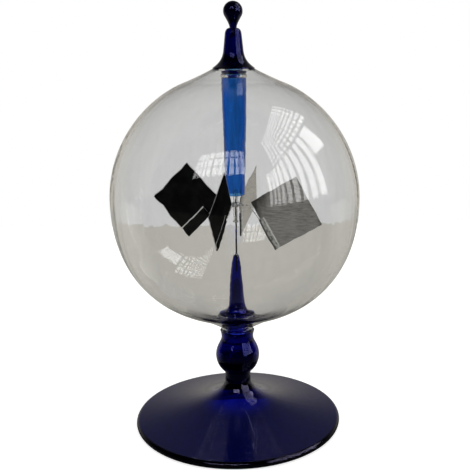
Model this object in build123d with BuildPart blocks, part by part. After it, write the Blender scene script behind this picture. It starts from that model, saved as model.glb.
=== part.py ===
"""A light mill: four vanes turn on a needle inside an evacuated glass globe, on a blue glass foot.

Millimetres and degrees. +Z is up, and the origin is the middle of the foot's flat ring.
Every glass piece is a body of revolution about Z, blown or drawn and then fused to the next.
"""

import os
from math import cos, radians, sin, sqrt

from build123d import *

# Fits
SEAM = 0.05  # gap between two glass pieces that are fused on the real object
WIRE_FIT = 0.02  # radial clearance of a wire or pin in its hole
PIVOT_GAP = 0.03  # needle point to the roof of the cup
LEAF_FIT = 0.01  # between the faces of foil, soot and clip

# Foot
FOOT_RADIUS = 52.2
FOOT_HEIGHT = 22.3
FOOT_EDGE = 3.6  # height of the rounded edge
FOOT_EDGE_ROUND = 1.7  # how far the edge bulges past its top and bottom
FOOT_RING = 3.2  # width of the flat ring that it stands on
FOOT_CROWN = 7.3  # solid glass above the hollow of the foot
FLARE_RADIUS = 16.5  # where the flare runs out into the disc
FLARE_HEIGHT = 8.2
FOOT_WALL = 3.4

# Stem knop, a hollow ball on a short stem
STEM_RADIUS = 6.5
KNOP_RADIUS = 11.0
KNOP_CENTRE = 13.4  # above the foot
KNOP_WALL = 1.9
KNOP_WAIST = 8.05
KNOP_SHOULDER = 9.7  # waist above the ball's middle
KNOP_FLARE = 3.3  # rim above the waist
KNOP_RIM = 8.6
KNOP_RIM_WIDTH = 0.45
KNOP_DISH = 0.6  # depth of the dished top
KNOP_SEAT = 6.5  # radius of the dish's flat floor, on which the globe's neck stands
KNOP_TOP_WALL = 1.3

# Globe
GLOBE_RADIUS = 60.0
GLOBE_WALL = 1.4
BALL_ABOVE = 0.927  # of the radius, from the widest ring up to the shoulder's joint
BALL_BELOW = 0.945  # of the radius, from the widest ring down to the funnel's joint
BULGE_ABOVE = 0.475  # of the radius, how long the wall stays steep above the widest ring
BULGE_BELOW = 0.758
SHOULDER_RADIUS = 22.6
SHOULDER_SLOPE = 20.3
SHOULDER_PULL = 19.0
RIM_RADIUS = 10.1
RIM_RISE = 5.85  # rim above the shoulder's joint
RIM_SLOPE = 36.0
FUNNEL_RADIUS = 24.0
FUNNEL_SLOPE = 24.2
FUNNEL_PULL = 3.0
FUNNEL_DROP = 8.3  # corner of the neck below the funnel's joint
NECK_SLOPE = 28.0  # of the funnel where it meets the neck
NECK_RADIUS = 8.4
NECK_BORE = 6.9
NECK_ROLL = 3.1  # height of the rounded end of the neck
NECK_FOOT = 6.3  # outer radius of the end that stands in the knop's dish
NECK_FLOOR = 1.2  # thickness of the end around the post's tail
FLANGE_SEAT = 8.0  # height of the flange's seat in the neck, above the neck's end

# Lower post, drawn out of tube, with a flange that closes the globe
FLANGE_RADIUS = 8.95
FLANGE_EDGE = 0.7
TAIL_RADIUS = 4.9
TAIL_DEPTH = 2.6  # of the tail below the knop's top
POST_WALL = 1.45
POST_HEIGHT = 31.7  # tip above the flange's seat
POST_FLARE = 5.5  # height of the flare above the seat
POST_SHOULDER = 4.15  # radius just above the flare
POST_SHAFT = 3.3  # radius halfway up
POST_TIP = 1.95
POST_NOSE = 1.9  # length of the rounded tip
POST_PLUG = 11.5  # solid glass at the tip

# Needle and the bead that holds it
NEEDLE_RADIUS = 0.5
NEEDLE_FREE = 31.8  # point above the post's tip
NEEDLE_SUNK = 8.0
NEEDLE_TAPER = 6.0
NEEDLE_POINT = 0.05
BEAD_RADIUS = 1.4
BEAD_HEIGHT = 1.6

# Rotor
CUP_RADIUS = 1.3
CUP_BORE = 0.82
CUP_DEPTH = 15.5
CUP_LIP = 0.2  # how far the fire-polished lip stands out
HUB_RADIUS = 1.95
HUB_HEIGHT = 2.2
HUB_BELOW_POINT = 6.8  # middle of the hub below the needle's point
STUB_RADIUS = 0.75
STUB_REACH = 4.2
STUB_HOLE = 1.8  # depth of the arm in its stub
ARM_RADIUS = 0.3
ARM_REACH = 6.8  # from the axis to the bend
ARM_BEND = 0.9
FIRST_ARM_ANGLE = -17.0
VANE_REACH = 8.05  # from the axis to where the line of the vane's lower edge meets the arm's level
VANE_SIDE = 25.7
VANE_THICKNESS = 0.15
VANE_OVERHANG = 1.5  # of the vane's inner corner past that point
VANE_STANDOFF = 0.5  # of the vane's edge from the middle of the arm
VANE_ANGLE = 45.0
# One value for each arm: the mill was set up by hand, so no vane stands quite like the next
ARM_TURN = (0.0, 0.5, -3.0, 1.0)  # of the arm off its quarter turn
VANE_DROOP = (14.5, 12.5, -0.5, -1.5)  # in the vane's own plane
VANE_LEAN = (-3.5, 9.5, 0.5, -6.5)  # about the arm
SOOT = 0.05
SOOT_EDGE = 0.25  # bare foil left around the soot
CLIP_START = 7.8  # along the edge
CLIP_WIDTH = 2.9  # on the bright face, from the arm's middle
CLIP_WIDTH_SOOT = 5.2  # on the sooty face
CLIP_METAL = 0.12
CLIP_TAPER = 1.2  # from the arm's middle to where the clip lies flat
CLIP_LIP = 0.5  # width of the strip's edge, which lifts off the vane
CLIP_LIFT = 0.12

# Guide tube and the ring that seals it to the bell
TUBE_TOP_RADIUS = 5.9
TUBE_FOOT_RADIUS = 4.9
TUBE_WALL = 0.95
TUBE_ROUND = 0.3
LIFT = 4.0  # how far the rotor can rise before its arms meet the tube
SEAL_HEIGHT = 1.7
SEAL_RADIUS = 6.1
SEAL_BORE = 4.1

# Bell and drop, the closed end of the pumping stem
BELL_HEIGHT = 18.5
BELL_EDGE_RADIUS = 9.85
BELL_EDGE = 0.5
BELL_WAIST_RADIUS = 4.6
BELL_WAIST_HEIGHT = 9.5
BELL_SHOULDER_RADIUS = 3.95
BELL_SHOULDER_HEIGHT = 15.6
COLLAR_RADIUS = 6.0
COLLAR_HEIGHT = 3.4
COLLAR_ROUND = 1.0
PLUG_RADIUS = 3.0
PLUG_LENGTH = 1.6
STEM_BORE = 1.7
STEM_BORE_HEIGHT = 13.5
DROP_RADIUS = 4.55
DROP_CENTRE = 7.45  # middle of the drop's ball above its neck
DROP_NECK_RADIUS = 1.65
DROP_BALL_START = -25.0  # angle below the ball's middle where the neck's flare ends
TIP_RADIUS = 0.85
TIP_LENGTH = 3.6

# Levels that follow from the sizes above
ARM_COUNT = len(ARM_TURN)
BALL_LEVEL = FOOT_HEIGHT + KNOP_CENTRE
WAIST_LEVEL = BALL_LEVEL + KNOP_SHOULDER
KNOP_TOP = WAIST_LEVEL + KNOP_FLARE
DISH_LEVEL = KNOP_TOP - KNOP_DISH
NECK_END = DISH_LEVEL + SEAM
NECK_CORNER = NECK_END + NECK_ROLL
FUNNEL_LEVEL = NECK_CORNER + FUNNEL_DROP
GLOBE_LEVEL = FUNNEL_LEVEL + BALL_BELOW * GLOBE_RADIUS
SHOULDER_LEVEL = GLOBE_LEVEL + BALL_ABOVE * GLOBE_RADIUS
GLOBE_TOP = SHOULDER_LEVEL + RIM_RISE
SEAT_LEVEL = NECK_END + FLANGE_SEAT
FLANGE_LEVEL = SEAT_LEVEL + SEAM
POST_TOP = FLANGE_LEVEL + POST_HEIGHT
POINT_LEVEL = POST_TOP + NEEDLE_FREE
CUP_ROOF = POINT_LEVEL + PIVOT_GAP
HUB_LEVEL = POINT_LEVEL - HUB_BELOW_POINT
BELL_BASE = GLOBE_TOP + SEAM
SEAL_TOP = BELL_BASE - COLLAR_HEIGHT - SEAM
TUBE_TOP = SEAL_TOP - SEAL_HEIGHT - SEAM
TUBE_FOOT = HUB_LEVEL + STUB_RADIUS + LIFT
BELL_TOP = BELL_BASE + BELL_HEIGHT

AROUND = Axis.Z
PROFILE = Plane.XZ  # local x is the radius and local y the height


def save(piece, name):
    """Labels one finished piece and writes it as its own STEP file."""
    piece.part.label = name
    export_step(piece.part, f"parts/{name}.step")


def on_ball(radius, level, angle):
    """Point on a ball about the axis, at an angle above its middle."""
    return (radius * cos(radians(angle)), level + radius * sin(radians(angle)))


def off(point, reach, angle):
    """Point at a distance from another, in the direction of an angle above the horizontal."""
    return (point[0] + reach * cos(radians(angle)), point[1] + reach * sin(radians(angle)))


os.makedirs("parts", exist_ok=True)

# Foot: a spun disc that flares up into the stem, hollow underneath, standing on a flat ring
edge_inner = FOOT_RADIUS - FOOT_EDGE_ROUND
ring_inner = edge_inner - FOOT_RING
hollow_top = FOOT_HEIGHT - FOOT_CROWN
with BuildPart() as foot:
    with BuildSketch(PROFILE):
        with BuildLine():
            Polyline((0, hollow_top), (0, FOOT_HEIGHT), (STEM_RADIUS, FOOT_HEIGHT))
            Bezier(
                (STEM_RADIUS, FOOT_HEIGHT),
                (STEM_RADIUS + 1.1, (FOOT_HEIGHT + FLARE_HEIGHT) / 2),
                (FLARE_RADIUS, FLARE_HEIGHT),
                (edge_inner, FOOT_EDGE),
            )
            ThreePointArc((edge_inner, FOOT_EDGE), (FOOT_RADIUS, FOOT_EDGE / 2), (edge_inner, 0))
            Line((edge_inner, 0), (ring_inner, 0))
            Bezier(
                (ring_inner, 0),
                (FLARE_RADIUS - FOOT_WALL / 2, FLARE_HEIGHT - FOOT_WALL),
                (STEM_RADIUS - 1.3, hollow_top),
                (0, hollow_top),
            )
        make_face()
    revolve(axis=AROUND)
save(foot, "foot")

# Stem knop: a blown ball with a waist and a flared, dished top, whose hole takes the tail of the post
socket_radius = TAIL_RADIUS + SEAM
ceiling_level = DISH_LEVEL - KNOP_TOP_WALL
ball_low = BALL_LEVEL - sqrt(KNOP_RADIUS**2 - STEM_RADIUS**2)
cavity_radius = KNOP_RADIUS - KNOP_WALL
cavity_floor = BALL_LEVEL - cavity_radius
throat_radius = KNOP_WAIST - KNOP_WALL
throat_low = BALL_LEVEL + sqrt(cavity_radius**2 - throat_radius**2)
with BuildPart() as stem_knop:
    with BuildSketch(PROFILE):
        with BuildLine():
            Polyline(
                (0, cavity_floor),
                (0, FOOT_HEIGHT + SEAM),
                (STEM_RADIUS, FOOT_HEIGHT + SEAM),
                (STEM_RADIUS, ball_low),
            )
            ThreePointArc(
                (STEM_RADIUS, ball_low),
                on_ball(KNOP_RADIUS, BALL_LEVEL, -25),
                (KNOP_RADIUS, BALL_LEVEL),
            )
            Bezier(
                (KNOP_RADIUS, BALL_LEVEL),
                (KNOP_RADIUS, BALL_LEVEL + KNOP_SHOULDER * 0.5),
                (KNOP_WAIST, BALL_LEVEL + KNOP_SHOULDER * 0.7),
                (KNOP_WAIST, WAIST_LEVEL),
            )
            Bezier(
                (KNOP_WAIST, WAIST_LEVEL),
                (KNOP_WAIST, WAIST_LEVEL + KNOP_FLARE * 0.5),
                (KNOP_RIM - 0.2, KNOP_TOP - KNOP_FLARE * 0.25),
                (KNOP_RIM, KNOP_TOP),
            )
            Polyline(
                (KNOP_RIM, KNOP_TOP),
                (KNOP_RIM - KNOP_RIM_WIDTH, KNOP_TOP),
                (KNOP_SEAT, DISH_LEVEL),
                (socket_radius, DISH_LEVEL),
                (socket_radius, ceiling_level),
                (throat_radius, ceiling_level),
                (throat_radius, throat_low),
            )
            ThreePointArc((throat_radius, throat_low), (cavity_radius, BALL_LEVEL), (0, cavity_floor))
        make_face()
    revolve(axis=AROUND)
save(stem_knop, "stem_knop")

# Globe: a ball that flares up to the bell, and a tubular neck below that reaches up to the post's flange
neck_bore = TAIL_RADIUS + SEAM
funnels = []
rims = []
with BuildPart() as globe:
    with BuildSketch(PROFILE):
        with BuildLine():
            for inset in (0, GLOBE_WALL):
                widest = (GLOBE_RADIUS - inset, GLOBE_LEVEL)
                shoulder = off((SHOULDER_RADIUS, SHOULDER_LEVEL), inset, 270 - SHOULDER_SLOPE)
                funnel = off((FUNNEL_RADIUS, FUNNEL_LEVEL), inset, 90 + FUNNEL_SLOPE)
                rim = (RIM_RADIUS, GLOBE_TOP - inset / cos(radians(SHOULDER_SLOPE)))
                Bezier(
                    rim,
                    off(rim, GLOBE_WALL, -RIM_SLOPE),
                    off(shoulder, GLOBE_WALL * 2, 180 - SHOULDER_SLOPE),
                    shoulder,
                )
                Bezier(
                    shoulder,
                    off(shoulder, SHOULDER_PULL, -SHOULDER_SLOPE),
                    off(widest, BULGE_ABOVE * GLOBE_RADIUS, 90),
                    widest,
                )
                Bezier(
                    widest,
                    off(widest, BULGE_BELOW * GLOBE_RADIUS, -90),
                    off(funnel, FUNNEL_PULL, FUNNEL_SLOPE),
                    funnel,
                )
                funnels.append(funnel)
                rims.append(rim)
            Line(rims[0], rims[1])
            # Outside of the neck, from the ball down to the end that stands in the dish
            corner = (NECK_RADIUS, NECK_CORNER)
            Bezier(
                funnels[0],
                off(funnels[0], FUNNEL_PULL * 3, 180 + FUNNEL_SLOPE),
                off(corner, FUNNEL_PULL * 0.7, NECK_SLOPE),
                corner,
            )
            Bezier(
                corner,
                (NECK_RADIUS, NECK_CORNER - NECK_ROLL * 0.45),
                (NECK_FOOT + 0.5, NECK_END + NECK_ROLL * 0.2),
                (NECK_FOOT, NECK_END),
            )
            Polyline((NECK_FOOT, NECK_END), (neck_bore, NECK_END), (neck_bore, NECK_END + NECK_FLOOR))
            # Inside of the neck, and its upper end that carries the flange
            Bezier(
                (neck_bore, NECK_END + NECK_FLOOR),
                (NECK_BORE, NECK_END + NECK_FLOOR),
                (NECK_BORE, NECK_CORNER),
            )
            Polyline((NECK_BORE, NECK_CORNER), (NECK_BORE, SEAT_LEVEL), (FLANGE_RADIUS, SEAT_LEVEL))
            Bezier(
                (FLANGE_RADIUS, SEAT_LEVEL),
                (FLANGE_RADIUS, SEAT_LEVEL - FLANGE_SEAT * 0.22),
                off(funnels[1], FUNNEL_PULL * 3, 180 + FUNNEL_SLOPE),
                funnels[1],
            )
        make_face()
    revolve(axis=AROUND)
save(globe, "globe")

# Lower post: tube that is drawn thin, with the flange that closes the globe's neck, and a tail
tail_end = KNOP_TOP - TAIL_DEPTH
tail_bore = TAIL_RADIUS - POST_WALL
flare_end = SEAT_LEVEL + POST_FLARE
nose_start = POST_TOP - POST_NOSE
plug_level = POST_TOP - POST_PLUG
with BuildPart() as lower_post:
    with BuildSketch(PROFILE):
        with BuildLine():
            Line((tail_bore, tail_end), (TAIL_RADIUS, tail_end))
            Line((TAIL_RADIUS, tail_end), (TAIL_RADIUS, FLANGE_LEVEL - 2))
            Bezier((TAIL_RADIUS, FLANGE_LEVEL - 2), (TAIL_RADIUS, FLANGE_LEVEL), (NECK_BORE, FLANGE_LEVEL))
            Polyline(
                (NECK_BORE, FLANGE_LEVEL),
                (FLANGE_RADIUS, FLANGE_LEVEL),
                (FLANGE_RADIUS, FLANGE_LEVEL + FLANGE_EDGE),
            )
            Bezier(
                (FLANGE_RADIUS, FLANGE_LEVEL + FLANGE_EDGE),
                (POST_SHOULDER + 1.4, FLANGE_LEVEL + FLANGE_EDGE + 0.9),
                (POST_SHOULDER + 0.3, FLANGE_LEVEL + 3.0),
                (POST_SHOULDER, flare_end),
            )
            Bezier(
                (POST_SHOULDER, flare_end),
                (POST_SHAFT, flare_end + (nose_start - flare_end) * 0.2),
                (POST_SHAFT + 0.1, flare_end + (nose_start - flare_end) * 0.6),
                (POST_TIP, nose_start),
            )
            Bezier(
                (POST_TIP, nose_start),
                (POST_TIP * 0.82, POST_TOP - POST_NOSE * 0.3),
                (POST_TIP * 0.7, POST_TOP),
                (BEAD_RADIUS * 0.7, POST_TOP),
            )
            Polyline(
                (BEAD_RADIUS * 0.7, POST_TOP),
                (NEEDLE_RADIUS + WIRE_FIT, POST_TOP),
                (NEEDLE_RADIUS + WIRE_FIT, POST_TOP - NEEDLE_SUNK - SEAM),
                (0, POST_TOP - NEEDLE_SUNK - SEAM),
                (0, plug_level),
            )
            Bezier(
                (0, plug_level),
                (tail_bore * 0.6, plug_level),
                (tail_bore * 0.6, flare_end + 4),
                (tail_bore, flare_end - 4),
            )
            Line((tail_bore, flare_end - 4), (tail_bore, tail_end))
        make_face()
    revolve(axis=AROUND)
save(lower_post, "lower_post")

# Needle: a steel pin sunk in the tip of the post, ground to a point
taper_start = POINT_LEVEL - NEEDLE_TAPER
with BuildPart() as needle:
    with BuildSketch(PROFILE):
        with BuildLine():
            Polyline(
                (0, POST_TOP - NEEDLE_SUNK),
                (NEEDLE_RADIUS, POST_TOP - NEEDLE_SUNK),
                (NEEDLE_RADIUS, taper_start),
                (NEEDLE_POINT, POINT_LEVEL),
                (0, POINT_LEVEL),
                (0, POST_TOP - NEEDLE_SUNK),
            )
        make_face()
    revolve(axis=AROUND)
save(needle, "needle")

# Needle bead: clear glass melted around the needle on the tip of the post
bead_level = POST_TOP + SEAM
with BuildPart() as needle_bead:
    with BuildSketch(PROFILE):
        with BuildLine():
            bore = NEEDLE_RADIUS + WIRE_FIT
            Line((bore, bead_level), (BEAD_RADIUS * 0.7, bead_level))
            ThreePointArc(
                (BEAD_RADIUS * 0.7, bead_level),
                (BEAD_RADIUS, bead_level + BEAD_HEIGHT / 2),
                (bore, bead_level + BEAD_HEIGHT),
            )
            Line((bore, bead_level + BEAD_HEIGHT), (bore, bead_level))
        make_face()
    revolve(axis=AROUND)
save(needle_bead, "needle_bead")

# Bearing cup: a small closed tube that hangs over the needle and turns on its point
cup_end = CUP_ROOF - CUP_DEPTH
dome_level = CUP_ROOF - CUP_BORE
with BuildPart() as bearing_cup:
    with BuildSketch(PROFILE):
        with BuildLine():
            Line((0, CUP_ROOF), (0, dome_level + CUP_RADIUS))
            ThreePointArc(
                (0, dome_level + CUP_RADIUS),
                on_ball(CUP_RADIUS, dome_level, 45),
                (CUP_RADIUS, dome_level),
            )
            Line((CUP_RADIUS, dome_level), (CUP_RADIUS, cup_end + 4 * CUP_LIP))
            ThreePointArc(
                (CUP_RADIUS, cup_end + 4 * CUP_LIP),
                (CUP_RADIUS + CUP_LIP, cup_end + 2 * CUP_LIP),
                (CUP_RADIUS, cup_end),
            )
            Line((CUP_RADIUS, cup_end), (CUP_BORE, cup_end))
            Line((CUP_BORE, cup_end), (CUP_BORE, dome_level))
            ThreePointArc((CUP_BORE, dome_level), on_ball(CUP_BORE, dome_level, 45), (0, CUP_ROOF))
        make_face()
    revolve(axis=AROUND)
save(bearing_cup, "bearing_cup")

# Hub: a ring on the cup with a short stub for each arm
arm_start = STUB_REACH - STUB_HOLE
outwards = []
for index in range(ARM_COUNT):
    turn = FIRST_ARM_ANGLE + index * 360 / ARM_COUNT + ARM_TURN[index]
    outwards.append(Vector(1, 0, 0).rotate(Axis.Z, turn))
with BuildPart() as hub:
    with Locations((0, 0, HUB_LEVEL)):
        Cylinder(HUB_RADIUS, HUB_HEIGHT)
    chamfer(hub.edges(), 0.25)
    for outward in outwards:
        with BuildSketch(Plane((0, 0, HUB_LEVEL), x_dir=(0, 0, 1), z_dir=outward)):
            Circle(STUB_RADIUS)
        extrude(amount=STUB_REACH)
    for outward in outwards:
        hole = outward * arm_start + Vector(0, 0, HUB_LEVEL)
        with BuildSketch(Plane(hole, x_dir=(0, 0, 1), z_dir=outward)):
            Circle(ARM_RADIUS + WIRE_FIT)
        extrude(amount=STUB_HOLE + 1, mode=Mode.SUBTRACT)
    with Locations((0, 0, HUB_LEVEL)):
        Hole(CUP_RADIUS + WIRE_FIT, HUB_HEIGHT)
save(hub, "hub")

# Arms, vanes, soot and clips, in the plane of each arm: local x outward, local y up
leaf_in = VANE_THICKNESS / 2 + LEAF_FIT  # bright side of the foil to the clip
leaf_out = VANE_THICKNESS / 2 + SOOT + 2 * LEAF_FIT  # sooty side of the foil to the clip
roll_in = ARM_RADIUS + WIRE_FIT
roll_out = roll_in + CLIP_METAL
edge_end = VANE_SIDE - VANE_OVERHANG
for index in range(ARM_COUNT):
    number = index + 1
    outward = outwards[index]
    across = outward.cross(Vector(0, 0, 1)).rotate(Axis((0, 0, 0), outward), VANE_LEAN[index])
    set_down = -radians(VANE_ANGLE + VANE_DROOP[index])
    arm_plane = Plane((0, 0, HUB_LEVEL), x_dir=outward, z_dir=across)
    edge_start = arm_plane.from_local_coords(Vector(VANE_REACH, 0, 0))
    along = arm_plane.from_local_coords(Vector(VANE_REACH + cos(set_down), sin(set_down), 0)) - edge_start
    vane_plane = Plane(edge_start, x_dir=along, z_dir=across)  # local x down the edge, local y into the foil

    # Arm: a wire that bends down to the vane's lower inner edge and runs along it inside the clip
    with BuildPart() as arm:
        with BuildLine(arm_plane) as path:
            knee = off((VANE_REACH, 0), CLIP_START - 1, -VANE_ANGLE - VANE_DROOP[index])
            tip = off((VANE_REACH, 0), edge_end - 1, -VANE_ANGLE - VANE_DROOP[index])
            FilletPolyline((arm_start, 0), (ARM_REACH, 0), knee, tip, radius=ARM_BEND)
        with BuildSketch(Plane(path.line @ 0, x_dir=across, z_dir=path.line % 0)):
            Circle(ARM_RADIUS)
        sweep(path=path.line)
    save(arm, f"arm_{number}")

    # Vane: a thin square of foil that stands on its corner
    with BuildPart() as vane:
        with BuildSketch(vane_plane):
            with Locations((-VANE_OVERHANG, VANE_STANDOFF)):
                Rectangle(VANE_SIDE, VANE_SIDE, align=Align.MIN)
        extrude(amount=VANE_THICKNESS / 2, both=True)
    save(vane, f"vane_{number}")

    # Soot: lampblack on one face of the foil
    with BuildPart() as soot:
        with BuildSketch(vane_plane.offset(-VANE_THICKNESS / 2 - LEAF_FIT)):
            with Locations((SOOT_EDGE - VANE_OVERHANG, VANE_STANDOFF + SOOT_EDGE)):
                Rectangle(VANE_SIDE - 2 * SOOT_EDGE, VANE_SIDE - 2 * SOOT_EDGE, align=Align.MIN)
        extrude(amount=-SOOT)
    save(soot, f"soot_coat_{number}")

    # Clip: a strip folded around the arm and closed on both faces of the foil
    with BuildPart() as clip:
        start = vane_plane.from_local_coords(Vector(CLIP_START, 0, 0))
        with BuildSketch(Plane(start, x_dir=-across, z_dir=along)):
            with BuildLine():
                for side, leaf, width in ((1, leaf_out, CLIP_WIDTH_SOOT), (-1, leaf_in, CLIP_WIDTH)):
                    Polyline(
                        (side * roll_out, 0),
                        (side * (leaf + CLIP_METAL), CLIP_TAPER),
                        (side * (leaf + CLIP_METAL), width - CLIP_LIP),
                        (side * (leaf + CLIP_METAL + CLIP_LIFT), width),
                        (side * (leaf + CLIP_LIFT), width),
                        (side * leaf, width - CLIP_LIP),
                        (side * leaf, CLIP_TAPER),
                        (side * roll_in, 0),
                    )
                ThreePointArc((roll_in, 0), (0, -roll_in), (-roll_in, 0))
                ThreePointArc((roll_out, 0), (0, -roll_out), (-roll_out, 0))
            make_face()
        extrude(amount=edge_end - CLIP_START)
    save(clip, f"vane_clip_{number}")

# Guide tube: keeps the cup from leaving the needle when the mill is turned over
tube_slope = (TUBE_TOP_RADIUS - TUBE_FOOT_RADIUS) / (TUBE_TOP - TUBE_FOOT)
with BuildPart() as guide_tube:
    with BuildSketch(PROFILE) as wall:
        with BuildLine():
            Polyline(
                (TUBE_FOOT_RADIUS, TUBE_FOOT),
                (TUBE_TOP_RADIUS, TUBE_TOP),
                (TUBE_TOP_RADIUS - TUBE_WALL, TUBE_TOP),
                (TUBE_FOOT_RADIUS - TUBE_WALL, TUBE_FOOT),
                (TUBE_FOOT_RADIUS, TUBE_FOOT),
            )
        make_face()
        fillet(wall.vertices(), TUBE_ROUND)
    revolve(axis=AROUND)
save(guide_tube, "guide_tube")

# Seal ring: the bead of clear glass between the tube and the bell's collar
with BuildPart() as seal_ring:
    with BuildSketch(PROFILE) as ring:
        with Locations(((SEAL_BORE + SEAL_RADIUS) / 2, SEAL_TOP - SEAL_HEIGHT / 2)):
            RectangleRounded(SEAL_RADIUS - SEAL_BORE, SEAL_HEIGHT, SEAL_HEIGHT * 0.35)
    revolve(axis=AROUND)
save(seal_ring, "seal_ring")

# Bell: the flared end of the pumping stem, with a collar that goes down into the globe
with BuildPart() as bell:
    with BuildSketch(PROFILE):
        with BuildLine():
            Polyline(
                (STEM_BORE, BELL_BASE - COLLAR_HEIGHT - PLUG_LENGTH),
                (PLUG_RADIUS, BELL_BASE - COLLAR_HEIGHT - PLUG_LENGTH),
                (PLUG_RADIUS, BELL_BASE - COLLAR_HEIGHT),
                (COLLAR_RADIUS - COLLAR_ROUND, BELL_BASE - COLLAR_HEIGHT),
            )
            Bezier(
                (COLLAR_RADIUS - COLLAR_ROUND, BELL_BASE - COLLAR_HEIGHT),
                (COLLAR_RADIUS, BELL_BASE - COLLAR_HEIGHT),
                (COLLAR_RADIUS, BELL_BASE - COLLAR_HEIGHT + COLLAR_ROUND),
            )
            Polyline(
                (COLLAR_RADIUS, BELL_BASE - COLLAR_HEIGHT + COLLAR_ROUND),
                (COLLAR_RADIUS, BELL_BASE),
                (BELL_EDGE_RADIUS, BELL_BASE),
                (BELL_EDGE_RADIUS, BELL_BASE + BELL_EDGE),
            )
            Bezier(
                (BELL_EDGE_RADIUS, BELL_BASE + BELL_EDGE),
                (BELL_WAIST_RADIUS + 1.2, BELL_BASE + BELL_WAIST_HEIGHT * 0.34),
                (BELL_WAIST_RADIUS + 0.3, BELL_BASE + BELL_WAIST_HEIGHT * 0.6),
                (BELL_WAIST_RADIUS, BELL_BASE + BELL_WAIST_HEIGHT),
            )
            Line(
                (BELL_WAIST_RADIUS, BELL_BASE + BELL_WAIST_HEIGHT),
                (BELL_SHOULDER_RADIUS, BELL_BASE + BELL_SHOULDER_HEIGHT),
            )
            Bezier(
                (BELL_SHOULDER_RADIUS, BELL_BASE + BELL_SHOULDER_HEIGHT),
                (BELL_SHOULDER_RADIUS - 0.2, BELL_TOP - 0.5),
                (DROP_NECK_RADIUS + 0.8, BELL_TOP),
                (DROP_NECK_RADIUS, BELL_TOP),
            )
            Polyline(
                (DROP_NECK_RADIUS, BELL_TOP),
                (TIP_RADIUS + SEAM, BELL_TOP),
                (TIP_RADIUS + SEAM, BELL_BASE + STEM_BORE_HEIGHT + STEM_BORE),
                (STEM_BORE, BELL_BASE + STEM_BORE_HEIGHT),
                (STEM_BORE, BELL_BASE - COLLAR_HEIGHT - PLUG_LENGTH),
            )
        make_face()
    revolve(axis=AROUND)
save(bell, "bell")

# Drop: the glass that was melted off to close the stem, with a tip that fills the stem's bore
drop_level = BELL_TOP + SEAM
ball_level = drop_level + DROP_CENTRE
ball_start = on_ball(DROP_RADIUS, ball_level, DROP_BALL_START)
with BuildPart() as finial_drop:
    with BuildSketch(PROFILE):
        with BuildLine():
            Polyline(
                (0, ball_level + DROP_RADIUS),
                (0, BELL_TOP - TIP_LENGTH),
                (TIP_RADIUS, BELL_TOP - TIP_LENGTH),
                (TIP_RADIUS, drop_level),
                (DROP_NECK_RADIUS, drop_level),
            )
            Bezier(
                (DROP_NECK_RADIUS, drop_level),
                (DROP_NECK_RADIUS + 0.1, drop_level + 1.6),
                (ball_start[0] - 1.35, ball_start[1] - 2.4),
                ball_start,
            )
            ThreePointArc(ball_start, on_ball(DROP_RADIUS, ball_level, 30), (0, ball_level + DROP_RADIUS))
        make_face()
    revolve(axis=AROUND)
save(finial_drop, "finial_drop")
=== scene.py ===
"""Looks of the light mill: camera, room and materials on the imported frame. Metres and degrees."""

from math import radians

import bpy
from mathutils import Matrix, Vector

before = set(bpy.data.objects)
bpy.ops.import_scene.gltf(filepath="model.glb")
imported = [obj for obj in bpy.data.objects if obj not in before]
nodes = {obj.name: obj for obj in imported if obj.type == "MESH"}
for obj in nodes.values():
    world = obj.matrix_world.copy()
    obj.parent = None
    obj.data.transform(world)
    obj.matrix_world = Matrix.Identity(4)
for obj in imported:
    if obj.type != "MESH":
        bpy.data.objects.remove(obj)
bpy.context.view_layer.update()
VANES = (1, 2, 3, 4)
WHITE = (1, 1, 1, 1)
BLACK = (0, 0, 0, 1)


# Small tools for node trees
def new_tree(owner, output):
    """Empties the node tree of a material or world and gives it an output node."""
    owner.use_nodes = True
    tree = owner.node_tree
    tree.nodes.clear()
    return tree, tree.nodes.new(output)


def new_material(name):
    """A material with an empty tree and its output node."""
    material = bpy.data.materials.new(name)
    tree, out = new_tree(material, "ShaderNodeOutputMaterial")
    return material, tree, out


def node(tree, kind, inputs=None, links=None, **settings):
    """One shader node with its settings, input values and incoming links."""
    made = tree.nodes.new(kind)
    for key, value in settings.items():
        setattr(made, key, value)
    for key, value in (inputs or {}).items():
        made.inputs[key].default_value = value
    for key, value in (links or {}).items():
        tree.links.new(value, made.inputs[key])
    return made


def math_node(tree, operation, first, second):
    """The result of a Math node; each operand is a socket or a number."""
    made = node(tree, "ShaderNodeMath", operation=operation)
    for index, value in enumerate((first, second)):
        if isinstance(value, bpy.types.NodeSocket):
            tree.links.new(value, made.inputs[index])
        else:
            made.inputs[index].default_value = value
    return made.outputs[0]


def smooth(tree, value, low, high, first=0.0, last=1.0):
    """Goes smoothly from first to last while a socket goes from low to high."""
    inputs = {"From Min": low, "From Max": high, "To Min": first, "To Max": last}
    made = node(tree, "ShaderNodeMapRange", inputs, {"Value": value}, interpolation_type="SMOOTHSTEP")
    return made.outputs["Result"]


def blend_colour(tree, factor, first, second):
    """A colour between two; each is a socket or a colour."""
    made = node(tree, "ShaderNodeMix", data_type="RGBA")
    for index, value in ((0, factor), (6, first), (7, second)):
        if isinstance(value, bpy.types.NodeSocket):
            tree.links.new(value, made.inputs[index])
        else:
            made.inputs[index].default_value = value
    return made.outputs[2]


def noise(tree, place, scale, detail=3.0, stretch=(1, 1, 1)):
    """Noise at a scale per metre, in coordinates stretched along the axes."""
    scaled = node(tree, "ShaderNodeVectorMath", {1: stretch}, {0: place}, operation="MULTIPLY")
    inputs = {"Scale": scale, "Detail": detail, "Distortion": 0.0}
    return node(tree, "ShaderNodeTexNoise", inputs, {"Vector": scaled.outputs[0]}).outputs["Fac"]


def bump(tree, relief, depth, under=None):
    """A bump of so many metres, over another one if there is one."""
    links = {"Height": relief}
    if under is not None:
        links["Normal"] = under
    return node(tree, "ShaderNodeBump", {"Strength": 1.0, "Distance": depth}, links).outputs["Normal"]


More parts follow.
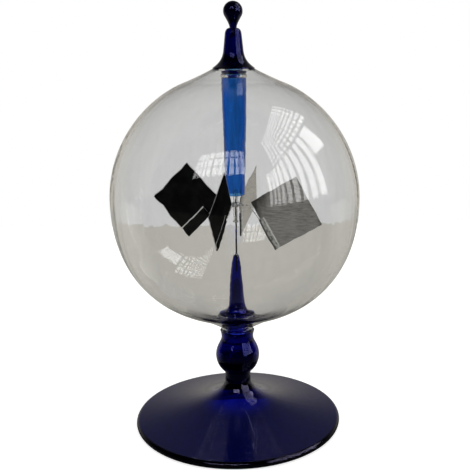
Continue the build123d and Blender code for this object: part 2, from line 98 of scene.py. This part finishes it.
def mirrored(tree, path):
    """One for a ray that something has mirrored, else nought."""
    return math_node(tree, "GREATER_THAN", path.outputs["Glossy Depth"], 0.5)


# Camera, at the place that the photograph was taken from
CAMERA_PLACE = Vector((0, -0.360, 0.1804))
CAMERA_TURN = 2.535  # to the right
CAMERA_PITCH = 12.94  # down
CAMERA_ROLL = 0.24
CAMERA_LENS = 57.4  # millimetres
CAMERA_SHIFT = -0.0709
CAMERA_NEAR = 0.01


def make_camera():
    data = bpy.data.cameras.new("camera")
    camera = bpy.data.objects.new("camera", data)
    bpy.context.scene.collection.objects.link(camera)
    data.lens = CAMERA_LENS
    data.shift_x = CAMERA_SHIFT
    data.clip_start = CAMERA_NEAR
    camera.matrix_world = (
        Matrix.Translation(CAMERA_PLACE)
        @ Matrix.Rotation(radians(-CAMERA_TURN), 4, "Z")
        @ Matrix.Rotation(radians(90 - CAMERA_PITCH), 4, "X")
        @ Matrix.Rotation(radians(-CAMERA_ROLL), 4, "Z")
    )
    bpy.context.scene.camera = camera
    bpy.context.scene.view_settings.view_transform = "Standard"


# Room: white for the camera, pale grey through glass, and dim in reflections
ROOM = (0.655, 0.66, 0.655, 1)
ROOM_DARK = (0.014, 0.014, 0.016, 1)
ROOM_ABOVE = (0.16, 0.16, 0.17, 1)
ROOM_LEVEL = (0.5, 0.48, 0.43, 1)
ROOM_BEHIND = (0.2, 0.8)  # how far back a mirrored way points, from the dark part to the lit one
ROOM_UP = (0.06, 0.55)  # how far up it points, from the light lower part to the one above


def make_room():
    world = bpy.data.worlds.new("room")
    bpy.context.scene.world = world
    tree, out = new_tree(world, "ShaderNodeOutputWorld")
    path = node(tree, "ShaderNodeLightPath")
    way = node(tree, "ShaderNodeTexCoord").outputs["Generated"]
    axes = node(tree, "ShaderNodeSeparateXYZ", links={0: way}).outputs
    behind = smooth(tree, axes["Y"], *ROOM_BEHIND)
    low = smooth(tree, axes["Z"], *ROOM_UP, 1.0, 0.0)
    dim = blend_colour(tree, behind, ROOM_DARK, blend_colour(tree, low, ROOM_ABOVE, ROOM_LEVEL))
    seen = blend_colour(tree, mirrored(tree, path), ROOM, dim)
    colour = blend_colour(tree, path.outputs["Is Camera Ray"], seen, WHITE)
    light = node(tree, "ShaderNodeBackground", {"Strength": 1.0}, {"Color": colour})
    tree.links.new(light.outputs[0], out.inputs["Surface"])


# Table: white paper for the camera, beige through glass and in reflections
TABLE_HALF = 1.2
TABLE_BACK = 0.48
TABLE_LEVEL = -0.0001
TABLE_PAPER = (0.8, 0.79, 0.77, 1)
TABLE_GLOW = 0.7
TABLE = (0.52, 0.505, 0.46, 1)
TABLE_MIRRORED_FRONT = (0.05, 0.05, 0.047, 1)
TABLE_MIRRORED_BACK = (0.42, 0.41, 0.37, 1)
TABLE_CHANGE = (-0.05, 0.1)  # depths between which its mirrored front goes over into its back


def make_table():
    mesh = bpy.data.meshes.new("floor")
    corners = [(-1, -TABLE_HALF), (1, -TABLE_HALF), (1, TABLE_BACK), (-1, TABLE_BACK)]
    mesh.from_pydata([(side * TABLE_HALF, depth, 0) for side, depth in corners], [], [(0, 1, 2, 3)])
    table = bpy.data.objects.new("floor", mesh)
    bpy.context.scene.collection.objects.link(table)
    table.location.z = TABLE_LEVEL
    material, tree, out = new_material("floor")
    path = node(tree, "ShaderNodeLightPath")
    paper = node(tree, "ShaderNodeBsdfDiffuse", {"Color": TABLE_PAPER})
    glow = node(tree, "ShaderNodeEmission", {"Color": WHITE, "Strength": TABLE_GLOW})
    white = node(tree, "ShaderNodeAddShader", links={0: paper.outputs[0], 1: glow.outputs[0]})
    place = node(tree, "ShaderNodeTexCoord").outputs["Object"]
    depth = node(tree, "ShaderNodeSeparateXYZ", links={0: place}).outputs["Y"]
    back = smooth(tree, depth, *TABLE_CHANGE)
    in_mirror = blend_colour(tree, back, TABLE_MIRRORED_FRONT, TABLE_MIRRORED_BACK)
    colour = blend_colour(tree, mirrored(tree, path), TABLE, in_mirror)
    shown = node(tree, "ShaderNodeEmission", {"Strength": 1.0}, {"Color": colour})
    links = {0: path.outputs["Is Camera Ray"], 1: shown.outputs[0], 2: white.outputs[0]}
    both = node(tree, "ShaderNodeMixShader", links=links)
    tree.links.new(both.outputs[0], out.inputs["Surface"])
    mesh.materials.append(material)


# Windows, which are also the lamps
SIDE_WALL = 1.2
FRONT_WALL = -1.6
TO_LEFT = (-1, 0, 0)
TO_BACK = (0, 1, 0)
WINDOW_LAMP = 0.8
WINDOWS = {
    "side_window": {
        "middle": (SIDE_WALL, -1.05, 0.72),
        "facing": TO_LEFT,
        "size": (2.10, 1.20),
        "panes": (9, 1),
        "bar": 0.08,
        "shine": 3.3,
    },
    "side_window_end": {
        "middle": (SIDE_WALL, 0.24, 1.02),
        "facing": TO_LEFT,
        "size": (0.48, 0.60),
        "panes": (1, 1),
        "bar": 0.06,
        "shine": 3.3,
    },
    "side_skylight": {
        "middle": (SIDE_WALL, -0.36, 2.12),
        "facing": TO_LEFT,
        "size": (2.40, 1.56),
        "panes": (12, 9),
        "bar": 0.06,
        "shine": 3.2,
    },
    "front_window": {
        "middle": (-0.52, FRONT_WALL, 1.53),
        "facing": TO_BACK,
        "size": (1.68, 1.07),
        "panes": (10, 3),
        "bar": 0.05,
        "shine": 3.6,
    },
}


def grey(strength):
    """A grey of one strength."""
    return (strength, strength, strength, 1)


def make_window(name, middle, facing, size, panes, bar, shine):
    """A window of separate panes with bars between them; its shine is its strength in reflections."""
    width, height = size
    columns, rows = panes
    points, faces = [], []
    for column in range(columns):
        for row in range(rows):
            left = -width / 2 + column * width / columns + bar / 2
            right = left + width / columns - bar
            low = -height / 2 + row * height / rows + bar / 2
            high = low + height / rows - bar
            first = len(points)
            points += [(left, low, 0), (right, low, 0), (right, high, 0), (left, high, 0)]
            faces.append((first, first + 1, first + 2, first + 3))
    mesh = bpy.data.meshes.new(name)
    mesh.from_pydata(points, [], faces)
    window = bpy.data.objects.new(name, mesh)
    bpy.context.scene.collection.objects.link(window)
    turn = Vector(facing).to_track_quat("Z", "Y").to_matrix().to_4x4()
    window.matrix_world = Matrix.Translation(middle) @ turn
    material, tree, out = new_material(name)
    path = node(tree, "ShaderNodeLightPath")
    strength = blend_colour(tree, mirrored(tree, path), grey(WINDOW_LAMP), grey(shine))
    light = node(tree, "ShaderNodeEmission", {"Strength": 1.0}, {"Color": strength})
    tree.links.new(light.outputs[0], out.inputs["Surface"])
    mesh.materials.append(material)
    window.visible_camera = False


# Measures that the materials follow
def from_axis(tree, place):
    """Distance from the vertical axis."""
    flat = node(tree, "ShaderNodeVectorMath", {1: (1, 1, 0)}, {0: place}, operation="MULTIPLY").outputs[0]
    return node(tree, "ShaderNodeVectorMath", links={0: flat}, operation="LENGTH").outputs["Value"]


def above_table(tree, place):
    """Height above the table."""
    return node(tree, "ShaderNodeSeparateXYZ", links={0: place}).outputs["Z"]


def level(name, share):
    """Height in the frame at a share of a piece's own height."""
    heights = [v.co.z for v in nodes[name].data.vertices]
    return min(heights) + share * (max(heights) - min(heights))


def along(tree, place, middle, half):
    """From -1 at one end of a half length through the middle to 1 at the other."""
    offset = node(tree, "ShaderNodeVectorMath", {1: middle}, {0: place}, operation="SUBTRACT")
    step = half / half.length_squared
    dot = node(tree, "ShaderNodeVectorMath", {1: step}, {0: offset.outputs[0]}, operation="DOT_PRODUCT")
    return dot.outputs["Value"]


def vane_axes(number):
    """Middle of a vane, its half diagonal from the inner corner out, and the way to its soot side."""
    points = [v.co.copy() for v in nodes[f"vane_{number}"].data.vertices]
    middle = sum(points, Vector()) / len(points)
    away = Vector((middle.x, middle.y, 0)).normalized()
    across = max(points, key=lambda p: p.dot(away)) - min(points, key=lambda p: p.dot(away))
    coat = [v.co.copy() for v in nodes[f"soot_coat_{number}"].data.vertices]
    to_soot = (sum(coat, Vector()) / len(coat) - middle).normalized()
    return middle, across / 2, to_soot


def clip_edges(number):
    """Where a clip's fold and its two free edges are, along the way across it from its fold.

    Gives the vane's middle, that way and the way to the soot side, then the fold, the free edge on
    the bright side and the one on the sooted side.
    """
    middle, half, to_soot = vane_axes(number)
    up = half.cross(to_soot)
    across = (half + (up if up.z > 0 else -up)).normalized()
    points = [v.co - middle for v in nodes[f"vane_clip_{number}"].data.vertices]
    fold = min(p.dot(across) for p in points)
    bright_edge = max(p.dot(across) for p in points if p.dot(to_soot) < 0)
    soot_edge = max(p.dot(across) for p in points if p.dot(to_soot) > 0)
    return middle, across, to_soot, fold, bright_edge, soot_edge


# Glass
GLASS_IOR = 1.5
WAVE_SCALE = 45
WAVE_DEPTH = 2e-5
STREAK_SCALE = 300
STREAK_STRETCH = (1, 1, 0.1)
STREAK_DEPTH = 9e-7
STREAK_RANGE = (0.35, 0.7)
STREAK_SHADE = 0.3
CLEAR_STREAK_SHADE = 0.02
SMEAR_SCALE = 160
SMEAR_RANGE = (0.55, 0.8)
SMEAR_ROUGHNESS = 0.015
LILAC = (0.62, 0.58, 1, 1)
VIOLET = (0.3, 0.32, 0.85, 1)


def glass(name, tint=WHITE, colour=WHITE, density=0, gloss=WHITE, fade=None):
    """Blown glass with slow waves and fine streaks.

    The tint is at its surface, the colour with its density in its volume, and the gloss in its
    reflections. A fade has the measure that it follows, where it starts and ends, and the tint
    past its end.
    """
    material, tree, out = new_material(name)
    place = node(tree, "ShaderNodeTexCoord").outputs["Object"]
    waves = noise(tree, place, WAVE_SCALE, 2.0)
    streaks = noise(tree, place, STREAK_SCALE, 2.0, STREAK_STRETCH)
    smears = noise(tree, place, SMEAR_SCALE, 4.0)
    shade = tint
    if fade:
        share = smooth(tree, fade["measure"](tree, place), fade["start"], fade["end"])
        shade = blend_colour(tree, share, tint, fade["tint"])
    darker = smooth(tree, streaks, *STREAK_RANGE, 0.0, STREAK_SHADE if density else CLEAR_STREAK_SHADE)
    shader = node(
        tree,
        "ShaderNodeBsdfPrincipled",
        {"IOR": GLASS_IOR, "Transmission Weight": 1.0, "Specular Tint": gloss},
        {
            "Base Color": blend_colour(tree, darker, shade, BLACK),
            "Normal": bump(tree, streaks, STREAK_DEPTH, under=bump(tree, waves, WAVE_DEPTH)),
            "Roughness": smooth(tree, smears, *SMEAR_RANGE, 0.0, SMEAR_ROUGHNESS),
        },
    )
    tree.links.new(shader.outputs[0], out.inputs["Surface"])
    if density:
        volume = node(tree, "ShaderNodeVolumeAbsorption", {"Color": colour, "Density": density})
        tree.links.new(volume.outputs[0], out.inputs["Volume"])
    return material


def make_glass():
    """The blue pieces, each in its own blue, and the clear ones. Painted shade darkens the foot's outer
    disc and the knop's lower part, and painted light brightens the post's lower part.
    """
    foot = glass(
        "foot_cobalt",
        tint=(0.4, 0.45, 0.6, 1),
        colour=(0.05, 0.14, 0.9, 1),
        density=1000,
        gloss=LILAC,
        # painted shade: from 7 to 20 mm off the axis the foot's tint goes over into a darker one over the
        # outer disc
        fade={"measure": from_axis, "start": 0.007, "end": 0.020, "tint": (0.21, 0.19, 0.11, 1)},
    )
    knop = glass(
        "knop_cobalt",
        tint=(0.22, 0.2, 0.5, 1),
        colour=(0.25, 0.22, 0.92, 1),
        density=1400,
        gloss=VIOLET,
        # painted shade: from the middle of the knop down, its tint goes over into near black
        fade={
            "measure": above_table,
            "start": level("stem_knop", 0.56),
            "end": level("stem_knop", 0.4),
            "tint": (0.04, 0.03, 0.05, 1),
        },
    )
    post = glass(
        "post_cobalt",
        tint=(0.16, 0.17, 0.34, 1),
        colour=(0.25, 0.3, 0.9, 1),
        density=1200,
        gloss=LILAC,
        # painted light: the post's lower part, down in the globe's neck, gets a lighter, paler blue tint
        fade={
            "measure": above_table,
            "start": level("lower_post", 0.36),
            "end": level("lower_post", 0.26),
            "tint": (0.6, 0.75, 1, 1),
        },
    )
    bell = glass(
        "bell_cobalt",
        tint=(0.15, 0.12, 0.62, 1),
        colour=(0.15, 0.15, 0.72, 1),
        density=1000,
        gloss=VIOLET,
        fade={
            "measure": above_table,
            "start": level("bell", 0.24),
            "end": level("bell", 0.19),
            "tint": (0.35, 0.55, 0.9, 1),
        },
    )
    drop = glass("drop_cobalt", (0.1, 0.08, 0.18, 1), (0.17, 0.15, 0.71, 1), 1400, gloss=VIOLET)
    tube = glass("tube_cobalt", (0.5, 0.82, 0.95, 1), (0.26, 0.63, 0.935, 1), 1900)
    dress(foot, "foot")
    dress(knop, "stem_knop")
    dress(post, "lower_post")
    dress(bell, "bell")
    dress(drop, "finial_drop")
    dress(tube, "guide_tube")
    dress(glass("clear_glass"), "globe", "needle_bead", "seal_ring", "bearing_cup")


# Wire and needle
STEEL = (0.2, 0.195, 0.19, 1)
STEEL_ROUGHNESS = 0.25
WIRE = (0.9, 0.89, 0.87, 1)
WIRE_ROUGHNESS = 0.3
WIRE_METALLIC = 0.55
MARK_SCALE = 900
MARK_STRETCH = (1, 1, 0.15)
MARK_RANGE = (0.3, 0.7)
MARK_DEPTH = 6e-6
MARK_SPREAD = 0.3
DULL_SCALE = 150
DULL_RANGE = (0.35, 0.65)
DULL_SHARE = 0.7


def metal(name, colour, roughness, metallic=1.0):
    """Drawn metal with fine marks along it."""
    material, tree, out = new_material(name)
    place = node(tree, "ShaderNodeTexCoord").outputs["Object"]
    marks = noise(tree, place, MARK_SCALE, 3.0, MARK_STRETCH)
    clean = smooth(tree, noise(tree, place, DULL_SCALE, 3.0), *DULL_RANGE)
    dull = tuple(DULL_SHARE * channel for channel in colour[:3]) + (1,)
    finest = roughness * (1 - MARK_SPREAD)
    roughest = roughness * (1 + MARK_SPREAD)
    shader = node(
        tree,
        "ShaderNodeBsdfPrincipled",
        {"Metallic": metallic},
        {
            "Base Color": blend_colour(tree, clean, dull, colour),
            "Roughness": smooth(tree, marks, *MARK_RANGE, finest, roughest),
            "Normal": bump(tree, marks, MARK_DEPTH),
        },
    )
    tree.links.new(shader.outputs[0], out.inputs["Surface"])
    return material


# Foil
FOIL_METALLIC = 0.6
FOIL_GREY = (0.56, 0.54, 0.505, 1)
FOIL_BRIGHT = (0.78, 0.755, 0.715, 1)
FOIL_LINE = (0.93, 0.91, 0.87, 1)
FOIL_ROUGHNESS = (0.26, 0.42)
FOIL_CLOUD_SCALE = 130
FOIL_CLOUD_RANGE = (0.3, 0.7)
ROLLED_SCALE = 260
ROLLED_STRETCH = (1, 1, 7)
ROLLED_DEPTH = 1.2e-5
LINE_RANGE = (0.35, 0.7)
ROUGH_RANGE = (0.2, 0.8)
# near black: the darkening at a foil's inner and outer corners, and the painted shade along a clip's fold
CORNER_DARK_AND_FOLD_SHADE = (0.02, 0.02, 0.02, 1)
CORNER_DARK_SHARE = 0.85
CORNER_DARK_INNER = (-0.7, -0.2)
CORNER_DARK_OUTER = (1.1, 1.3)
CORNER_DARK_EDGE_SCALE = 300
CORNER_DARK_EDGE_STRETCH = (1, 1, 0.5)
CORNER_DARK_EDGE_SHARE = 0.5


def foil(number):
    """A vane's rolled foil, darkened at its inner and outer corners."""
    material, tree, out = new_material(f"foil_{number}")
    place = node(tree, "ShaderNodeTexCoord").outputs["Object"]
    middle, half, _ = vane_axes(number)
    edge = noise(tree, place, CORNER_DARK_EDGE_SCALE, 5.0, CORNER_DARK_EDGE_STRETCH)
    ragged = math_node(tree, "MULTIPLY", edge, CORNER_DARK_EDGE_SHARE)
    reach = math_node(tree, "ADD", along(tree, place, middle, half), ragged)
    inner = smooth(tree, reach, *CORNER_DARK_INNER, 1.0, 0.0)
    outer = smooth(tree, reach, *CORNER_DARK_OUTER)
    corner_dark = math_node(tree, "MULTIPLY", math_node(tree, "MAXIMUM", inner, outer), CORNER_DARK_SHARE)
    cloud = smooth(tree, noise(tree, place, FOIL_CLOUD_SCALE, 4.0), *FOIL_CLOUD_RANGE)
    rolled = noise(tree, place, ROLLED_SCALE, 4.0, ROLLED_STRETCH)
    bright = blend_colour(tree, cloud, FOIL_GREY, FOIL_BRIGHT)
    lined = blend_colour(tree, smooth(tree, rolled, *LINE_RANGE), bright, FOIL_LINE)
    links = {
        "Base Color": blend_colour(tree, corner_dark, lined, CORNER_DARK_AND_FOLD_SHADE),
        "Roughness": smooth(tree, rolled, *ROUGH_RANGE, *FOIL_ROUGHNESS),
        "Normal": bump(tree, rolled, ROLLED_DEPTH),
    }
    shader = node(tree, "ShaderNodeBsdfPrincipled", {"Metallic": FOIL_METALLIC}, links)
    tree.links.new(shader.outputs[0], out.inputs["Surface"])
    return material


# Soot
SOOT_DARK = (0.003, 0.003, 0.003, 1)
SOOT_LIGHT = (0.009, 0.009, 0.009, 1)
SOOT_ROUGHNESS = (0.16, 0.3)
SOOT_CLOUD_SCALE = 140
SOOT_CLOUD_RANGE = (0.35, 0.7)
SOOT_GRAIN_SCALE = 1800
SOOT_GRAIN_DEPTH = 4e-6


def soot_cloud(tree, place):
    """Soft clouds in lampblack."""
    return smooth(tree, noise(tree, place, SOOT_CLOUD_SCALE, 3.0), *SOOT_CLOUD_RANGE)


def soot():
    """Lampblack, which is close and a little glossy."""
    material, tree, out = new_material("soot")
    place = node(tree, "ShaderNodeTexCoord").outputs["Object"]
    cloud = soot_cloud(tree, place)
    grain = noise(tree, place, SOOT_GRAIN_SCALE, 4.0)
    links = {
        "Base Color": blend_colour(tree, cloud, SOOT_DARK, SOOT_LIGHT),
        "Roughness": smooth(tree, cloud, 0.0, 1.0, *SOOT_ROUGHNESS),
        "Normal": bump(tree, grain, SOOT_GRAIN_DEPTH),
    }
    shader = node(tree, "ShaderNodeBsdfPrincipled", {"Specular IOR Level": 0.0}, links)
    tree.links.new(shader.outputs[0], out.inputs["Surface"])
    return material


# Clip strips
CLIP_METALLIC = 0.35
CLIP_GREY = (0.4, 0.4, 0.385, 1)
CLIP_BRIGHT = (0.85, 0.85, 0.82, 1)
CLIP_PAINTED_HIGHLIGHT = (1, 1, 0.98, 1)
CLIP_HIGHLIGHT_WIDTH = 0.0009  # the painted highlight line along the free edge on the bright side
CLIP_SOOT_SIDE_HIGHLIGHT = (0.7 * CLIP_HIGHLIGHT_WIDTH, 0.4 * CLIP_HIGHLIGHT_WIDTH)  # a painted highlight line, from the free edge on the sooted side
CLIP_FOLD_SHADE = (0.5 * CLIP_HIGHLIGHT_WIDTH, 1.5 * CLIP_HIGHLIGHT_WIDTH)  # from the fold, where painted shade darkens the strip
CLIP_FOLD_SHADE_SHARE = 0.85
CRUMPLE_SCALE = 900
CRUMPLE_RANGE = (0.3, 0.7)
CRUMPLE_ROUGHNESS = (0.2, 0.4)
CRUMPLE_DEPTH = 8e-6
SOOT_SIDE = (0.1, 0.5)


def clip(number):
    """A strip folded round the wire: foil on the bright side, sooted with the vane on the other. Painted
    highlight lines run along its free edges and painted shade along its fold.
    """
    material, tree, out = new_material(f"clip_{number}")
    coordinates = node(tree, "ShaderNodeTexCoord").outputs
    place = coordinates["Object"]
    middle, across, to_soot, fold, bright_edge, soot_edge = clip_edges(number)
    facing = {0: coordinates["Normal"]}
    way = node(tree, "ShaderNodeVectorMath", {1: to_soot}, facing, operation="DOT_PRODUCT")
    soot_side = smooth(tree, way.outputs["Value"], *SOOT_SIDE)
    width = along(tree, place, middle, across)
    # painted highlight line along the free edge on the sooted side, cut out of the soot
    soot_side_highlight = smooth(tree, width, soot_edge - CLIP_SOOT_SIDE_HIGHLIGHT[0], soot_edge - CLIP_SOOT_SIDE_HIGHLIGHT[1])
    sooted = math_node(tree, "SUBTRACT", soot_side, soot_side_highlight)
    crumpled = noise(tree, place, CRUMPLE_SCALE, 4.0)
    plain = blend_colour(tree, smooth(tree, crumpled, *CRUMPLE_RANGE), CLIP_GREY, CLIP_BRIGHT)
    # painted highlight line along the free edge on the bright side
    edge = smooth(tree, width, bright_edge - CLIP_HIGHLIGHT_WIDTH, bright_edge - CLIP_HIGHLIGHT_WIDTH / 2)
    line = math_node(tree, "MAXIMUM", edge, soot_side_highlight)
    with_highlight = blend_colour(tree, line, plain, CLIP_PAINTED_HIGHLIGHT)
    # painted shade: the strip is darkened next to the fold round the wire
    fold_shade = smooth(tree, width, fold + CLIP_FOLD_SHADE[0], fold + CLIP_FOLD_SHADE[1], CLIP_FOLD_SHADE_SHARE, 0.0)
    bright = blend_colour(tree, fold_shade, with_highlight, CORNER_DARK_AND_FOLD_SHADE)
    black = blend_colour(tree, soot_cloud(tree, place), SOOT_DARK, SOOT_LIGHT)
    highlight_or_black = math_node(tree, "MAXIMUM", sooted, line)
    links = {
        "Base Color": blend_colour(tree, sooted, bright, black),
        "Metallic": smooth(tree, highlight_or_black, 0.0, 1.0, CLIP_METALLIC, 0.0),
        "Roughness": smooth(tree, crumpled, *CRUMPLE_RANGE, *CRUMPLE_ROUGHNESS),
        "Normal": bump(tree, crumpled, CRUMPLE_DEPTH),
    }
    shader = node(tree, "ShaderNodeBsdfPrincipled", {"Specular IOR Level": 0.0}, links)
    tree.links.new(shader.outputs[0], out.inputs["Surface"])
    return material


def dress(material, *names):
    """Puts one material on CAD nodes."""
    for name in names:
        mesh = nodes[name].data
        mesh.materials.clear()
        mesh.materials.append(material)


make_camera()
make_room()
make_table()
for name, window in WINDOWS.items():
    make_window(name, **window)
make_glass()
dress(metal("steel", STEEL, STEEL_ROUGHNESS), "needle")
dress(metal("wire", WIRE, WIRE_ROUGHNESS, WIRE_METALLIC), "hub", *[f"arm_{number}" for number in VANES])
for number in VANES:
    dress(foil(number), f"vane_{number}")
    dress(clip(number), f"vane_clip_{number}")
dress(soot(), *[f"soot_coat_{number}" for number in VANES])
